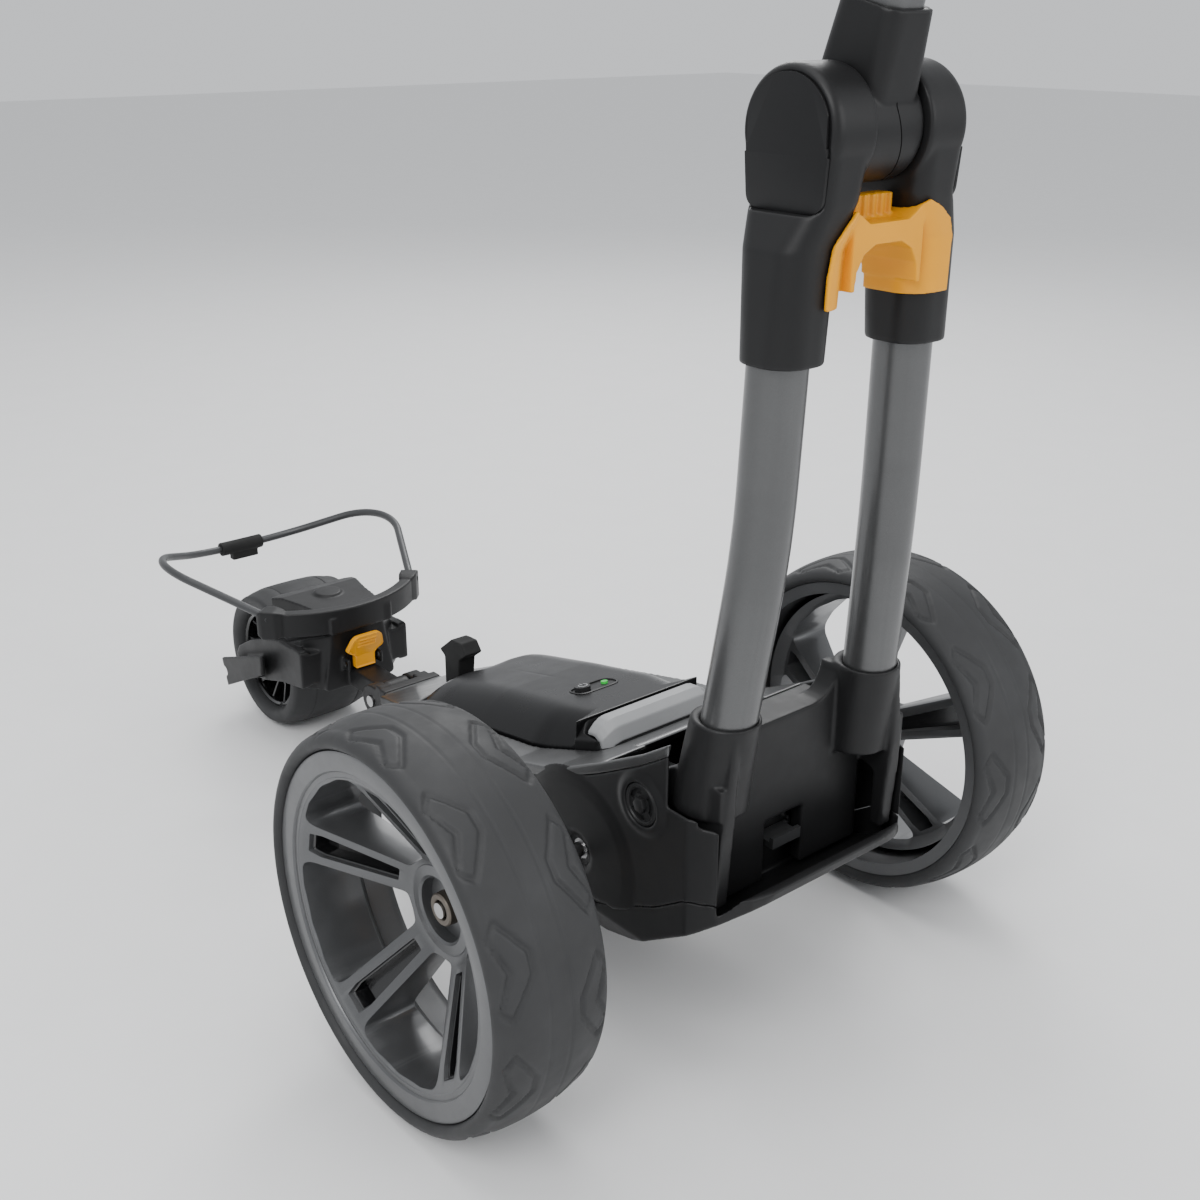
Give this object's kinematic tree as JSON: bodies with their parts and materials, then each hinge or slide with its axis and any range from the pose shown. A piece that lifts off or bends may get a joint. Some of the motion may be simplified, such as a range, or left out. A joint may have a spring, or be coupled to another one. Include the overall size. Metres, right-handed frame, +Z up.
{
  "type": "electric golf trolley",
  "caption": "Folding electric golf trolley: powered rear axle, sloped battery bay, front wheel arm with bag cradle and wire loop, twin curved frame tubes, hinged stem and console handle.",
  "frame": {"origin": "middle of the trolley's overall footprint, on the ground", "axes": "+X forward towards the front wheel, +Y to the trolley's left, +Z up"},
  "size_m": [1.2038, 0.588, 1.0614],
  "materials": {
    "gunmetal": "satin metallic paint",
    "black_plastic": "fine moulded grain",
    "gloss_black": "gloss moulding",
    "rim_paint": "satin metallic paint",
    "tyre_rubber": "foam-filled rubber",
    "soft_rubber": "matt rubber",
    "amber_plastic": "satin moulding",
    "silver_plastic": "satin moulding",
    "steel": "turned",
    "black_wire": "powder coat",
    "aluminium": "die cast",
    "cells": "shrink film",
    "lamp": "clear lens",
    "screen": "gloss window",
    "board": "circuit board"
  },
  "bodies": {
    "chassis": {"deck_frame": "gunmetal", "belly_pan": "black_plastic", "side_cover_left": "black_plastic", "side_cover_right": "black_plastic", "front_shell": "black_plastic", "battery_tray": "black_plastic", "battery_plug": "gloss_black", "belly_screws": "steel", "bumper_peg": "soft_rubber", "motor_controller": "aluminium", "motor_can": "steel", "gearbox_left": "aluminium", "gearbox_right": "aluminium", "axle_bearings": "steel", "pivot_bolts": "gloss_black", "fold_pin": "steel"},
    "drive_axle": {"rear_axle": "steel", "drive_gear": "silver_plastic", "tyre_left": "tyre_rubber", "tyre_right": "tyre_rubber", "rim_left": "rim_paint", "rim_right": "rim_paint", "spoke_inserts": "gloss_black", "hub_bushes": "steel", "hub_collars": "black_plastic"},
    "motor_rotor": {"motor_armature": "steel"},
    "wheel_lock_left": {"wheel_release_left": "amber_plastic"},
    "wheel_lock_right": {"wheel_release_right": "amber_plastic"},
    "lower_frame": {"frame_foot": "black_plastic", "lower_tubes": "gunmetal", "upper_joints": "black_plastic", "ear_caps": "black_plastic", "hinge_pin": "steel"},
    "fold_catch": {"frame_catch": "silver_plastic"},
    "hinge_lock": {"top_latch": "amber_plastic"},
    "handle": {"hinge_barrel": "black_plastic", "stem_tube": "gunmetal", "bag_clamp": "black_plastic", "bag_arms": "black_wire", "bag_pads": "soft_rubber", "console_body": "black_plastic", "display_lens": "screen", "display_board": "board", "handlebars": "soft_rubber"},
    "dial": {"speed_dial": "soft_rubber"},
    "front_arm": {"front_fork": "black_plastic", "front_axle": "steel", "bag_cradle": "black_plastic", "bag_loop": "black_wire", "loop_sleeve": "soft_rubber"},
    "front_wheel": {"front_tyre": "tyre_rubber", "front_rim": "black_plastic", "front_bearings": "steel"},
    "arm_lock": {"front_latch": "amber_plastic"},
    "battery_pack": {"battery_base": "black_plastic", "battery_lid": "black_plastic", "battery_handle": "silver_plastic", "battery_led": "lamp", "battery_cells": "cells"},
    "battery_key": {"power_button": "black_plastic"}
  },
  "joints": [
    {"name": "axle_spin", "type": "hinge", "parent": "chassis", "child": "drive_axle", "pos_m": [-0.1761, 0, 0.155], "axis": [0, 1, 0], "continuous": true},
    {"name": "motor_spin", "type": "hinge", "parent": "chassis", "child": "motor_rotor", "pos_m": [-0.21304, 0, 0.18087], "axis": [0, 1, 0], "continuous": true},
    {"name": "wheel_lock_left_press", "type": "slide", "parent": "drive_axle", "child": "wheel_lock_left", "axis": [0, 0, 1], "range_m": [0, 0.004], "stiffness_N_per_m": 900, "springref_m": -0.001},
    {"name": "wheel_lock_right_press", "type": "slide", "parent": "drive_axle", "child": "wheel_lock_right", "axis": [0, 0, 1], "range_m": [0, 0.004], "stiffness_N_per_m": 900, "springref_m": -0.001},
    {"name": "frame_fold", "type": "hinge", "parent": "chassis", "child": "lower_frame", "pos_m": [-0.2511, 0, 0.229], "axis": [0, -1, 0], "range_deg": [-85, 0]},
    {"name": "fold_catch_lift", "type": "hinge", "parent": "chassis", "child": "fold_catch", "pos_m": [-0.2741, 0, 0.176], "axis": [0, 1, 0], "range_deg": [0, 12], "stiffness_Nm_per_rad": 0.6, "springref_deg": -11.46},
    {"name": "hinge_lock_pull", "type": "slide", "parent": "lower_frame", "child": "hinge_lock", "axis": [0, 0, 1], "range_m": [-0.006, 0], "stiffness_N_per_m": 2000, "springref_m": 0.003},
    {"name": "handle_fold", "type": "hinge", "parent": "lower_frame", "child": "handle", "pos_m": [-0.3181, 0, 0.694], "axis": [0, 1, 0], "range_deg": [-90, 0]},
    {"name": "dial_turn", "type": "hinge", "parent": "handle", "child": "dial", "pos_m": [-0.40351, 0, 1.0159], "axis": [0.4848, 0, 0.8746], "continuous": true},
    {"name": "front_fold", "type": "hinge", "parent": "chassis", "child": "front_arm", "pos_m": [0.2599, 0, 0.095], "axis": [0, 1, 0], "range_deg": [0, 110]},
    {"name": "front_wheel_spin", "type": "hinge", "parent": "front_arm", "child": "front_wheel", "pos_m": [0.4559, 0, 0.079], "axis": [0, 1, 0], "continuous": true},
    {"name": "arm_lock_tilt", "type": "hinge", "parent": "front_arm", "child": "arm_lock", "pos_m": [0.3229, 0, 0.112], "axis": [0, 1, 0], "range_deg": [-18, 0], "stiffness_Nm_per_rad": 1.2, "springref_deg": 5.73},
    {"name": "battery_lift", "type": "slide", "parent": "chassis", "child": "battery_pack", "axis": [0, 0, 1], "range_m": [0, 0.15]},
    {"name": "battery_key_press", "type": "slide", "parent": "battery_pack", "child": "battery_key", "axis": [0.1736, 0, 0.9848], "range_m": [-0.002, 0], "stiffness_N_per_m": 1200, "springref_m": 0.0005}
  ],
  "couplings": [
    {"joint": "motor_spin", "follows": "axle_spin", "ratio": -4}
  ]
}
